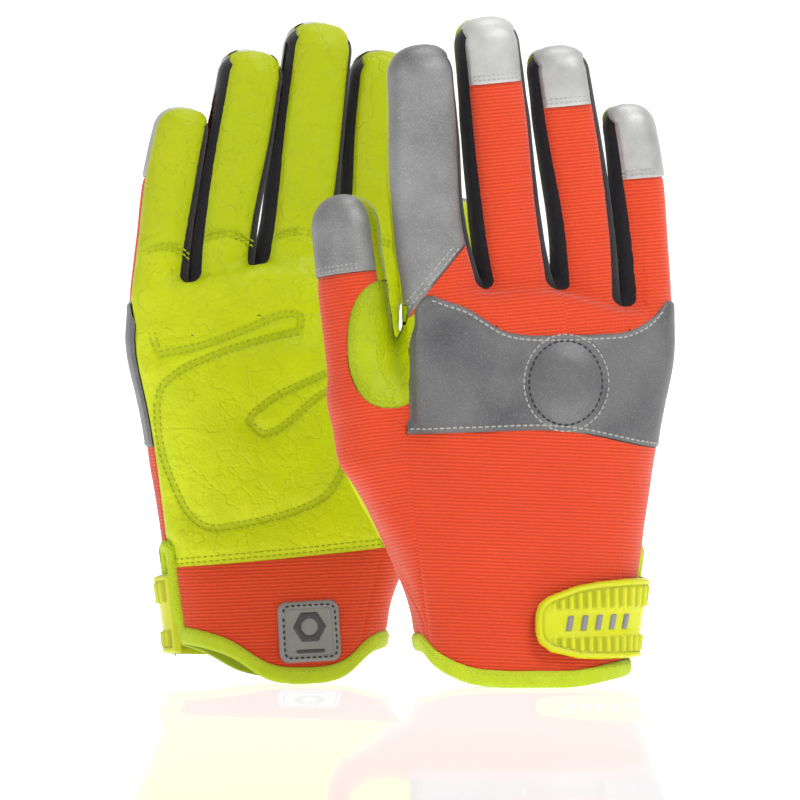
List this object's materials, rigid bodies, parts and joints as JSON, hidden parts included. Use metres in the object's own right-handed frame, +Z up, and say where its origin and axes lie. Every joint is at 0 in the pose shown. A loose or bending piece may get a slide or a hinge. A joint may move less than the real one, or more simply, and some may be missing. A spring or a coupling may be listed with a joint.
{
  "type": "work gloves",
  "caption": "Padded high-visibility work gloves standing upright: jointed fingers and thumbs, reflective knuckle band, leather palms and wrap-round wrist tabs.",
  "frame": {"origin": "centre of the pair's footprint, on the surface the hems stand on", "axes": "+Z up to the fingertips, +X to the front glove's little finger side, -Y towards the viewer: the front glove shows its back, the rear one its palm"},
  "size_m": [0.1972, 0.1686, 0.2446],
  "materials": {
    "orange_knit": "ribbed stretch knit",
    "lime_leather": "soft grained synthetic leather",
    "reflective_grey": "sparkling reflective film on fabric",
    "black_stretch": "fine stretch fabric",
    "lime_binding": "folded woven binding tape",
    "strap_rubber": "moulded, satin",
    "badge_rubber": "moulded, satin",
    "pad_foam": "soft foam",
    "hook_tape": "hook tape",
    "loop_tape": "loop tape"
  },
  "bodies": {
    "front_hand": {"front_back_panel": "orange_knit", "front_knuckle_band": "reflective_grey", "front_foam_pads": "pad_foam", "front_palm_leather": "lime_leather", "front_thumb_saddle": "lime_leather", "front_cuff_panel": "orange_knit", "front_edge_binding": "lime_binding", "front_cuff_badge": "badge_rubber", "front_loop_patch": "loop_tape", "front_finger_webs": "black_stretch"},
    "front_strap": {"front_strap_tab": "strap_rubber", "front_hook_patch": "hook_tape"},
    "front_index": {"front_index_back": "reflective_grey", "front_index_leather": "lime_leather", "front_index_fourchette": "black_stretch"},
    "front_middle": {"front_middle_back": "orange_knit", "front_middle_tip_cap": "reflective_grey", "front_middle_leather": "lime_leather", "front_middle_fourchettes": "black_stretch"},
    "front_ring": {"front_ring_back": "orange_knit", "front_ring_tip_cap": "reflective_grey", "front_ring_leather": "lime_leather", "front_ring_fourchettes": "black_stretch"},
    "front_pinky": {"front_pinky_back": "orange_knit", "front_pinky_tip_cap": "reflective_grey", "front_pinky_leather": "lime_leather", "front_pinky_fourchette": "black_stretch"},
    "front_thumb": {"front_thumb_back": "orange_knit", "front_thumb_tip_cap": "reflective_grey", "front_thumb_leather": "lime_leather"},
    "rear_hand": {"rear_back_panel": "orange_knit", "rear_knuckle_band": "reflective_grey", "rear_foam_pads": "pad_foam", "rear_palm_leather": "lime_leather", "rear_thumb_saddle": "lime_leather", "rear_cuff_panel": "orange_knit", "rear_edge_binding": "lime_binding", "rear_cuff_badge": "badge_rubber", "rear_loop_patch": "loop_tape", "rear_finger_webs": "black_stretch"},
    "rear_strap": {"rear_strap_tab": "strap_rubber", "rear_hook_patch": "hook_tape"},
    "rear_index": {"rear_index_back": "reflective_grey", "rear_index_leather": "lime_leather", "rear_index_fourchette": "black_stretch"},
    "rear_middle": {"rear_middle_back": "orange_knit", "rear_middle_tip_cap": "reflective_grey", "rear_middle_leather": "lime_leather", "rear_middle_fourchettes": "black_stretch"},
    "rear_ring": {"rear_ring_back": "orange_knit", "rear_ring_tip_cap": "reflective_grey", "rear_ring_leather": "lime_leather", "rear_ring_fourchettes": "black_stretch"},
    "rear_pinky": {"rear_pinky_back": "orange_knit", "rear_pinky_tip_cap": "reflective_grey", "rear_pinky_leather": "lime_leather", "rear_pinky_fourchette": "black_stretch"},
    "rear_thumb": {"rear_thumb_back": "orange_knit", "rear_thumb_tip_cap": "reflective_grey", "rear_thumb_leather": "lime_leather"}
  },
  "joints": [
    {"name": "front_glove_part", "type": "slide", "parent": "rear_hand", "child": "front_hand", "axis": [0, -1, 0], "range_m": [0, 0.15]},
    {"name": "front_index_bend", "type": "hinge", "parent": "front_hand", "child": "front_index", "pos_m": [0.01445, -0.04908, 0.1485], "axis": [-0.965, -0.2406, -0.1045], "range_deg": [0, 75]},
    {"name": "front_middle_bend", "type": "hinge", "parent": "front_hand", "child": "front_middle", "pos_m": [0.03957, -0.04353, 0.1495], "axis": [-0.966, -0.2408, -0.0941], "range_deg": [0, 75]},
    {"name": "front_ring_bend", "type": "hinge", "parent": "front_hand", "child": "front_ring", "pos_m": [0.06299, -0.03872, 0.1485], "axis": [-0.9661, -0.2409, -0.0924], "range_deg": [0, 75]},
    {"name": "front_pinky_bend", "type": "hinge", "parent": "front_hand", "child": "front_pinky", "pos_m": [0.08452, -0.03459, 0.1425], "axis": [-0.9672, -0.2411, -0.0802], "range_deg": [0, 75]},
    {"name": "front_thumb_bend", "type": "hinge", "parent": "front_hand", "child": "front_thumb", "pos_m": [-0.01343, -0.04815, 0.1001], "axis": [-0.9878, -0.1121, -0.1084], "range_deg": [0, 35]},
    {"name": "front_strap_open", "type": "hinge", "parent": "front_hand", "child": "front_strap", "pos_m": [0.08339, -0.03766, 0.025], "axis": [0, 0, 1], "range_deg": [0, 100]},
    {"name": "rear_index_bend", "type": "hinge", "parent": "rear_hand", "child": "rear_index", "pos_m": [-0.01444, 0.04908, 0.1485], "axis": [0.9635, 0.2402, -0.1184], "range_deg": [0, 75]},
    {"name": "rear_middle_bend", "type": "hinge", "parent": "rear_hand", "child": "rear_middle", "pos_m": [-0.03954, 0.04354, 0.1495], "axis": [0.9646, 0.2405, -0.108], "range_deg": [0, 75]},
    {"name": "rear_ring_bend", "type": "hinge", "parent": "rear_hand", "child": "rear_ring", "pos_m": [-0.06298, 0.03873, 0.1485], "axis": [0.9633, 0.2402, -0.1201], "range_deg": [0, 75]},
    {"name": "rear_pinky_bend", "type": "hinge", "parent": "rear_hand", "child": "rear_pinky", "pos_m": [-0.08478, 0.03453, 0.1425], "axis": [0.9624, 0.24, -0.1271], "range_deg": [0, 75]},
    {"name": "rear_thumb_bend", "type": "hinge", "parent": "rear_hand", "child": "rear_thumb", "pos_m": [0.01343, 0.04815, 0.1001], "axis": [0.9878, 0.1121, -0.1084], "range_deg": [0, 35]},
    {"name": "rear_strap_open", "type": "hinge", "parent": "rear_hand", "child": "rear_strap", "pos_m": [-0.08339, 0.03766, 0.025], "axis": [0, 0, 1], "range_deg": [0, 100]}
  ]
}
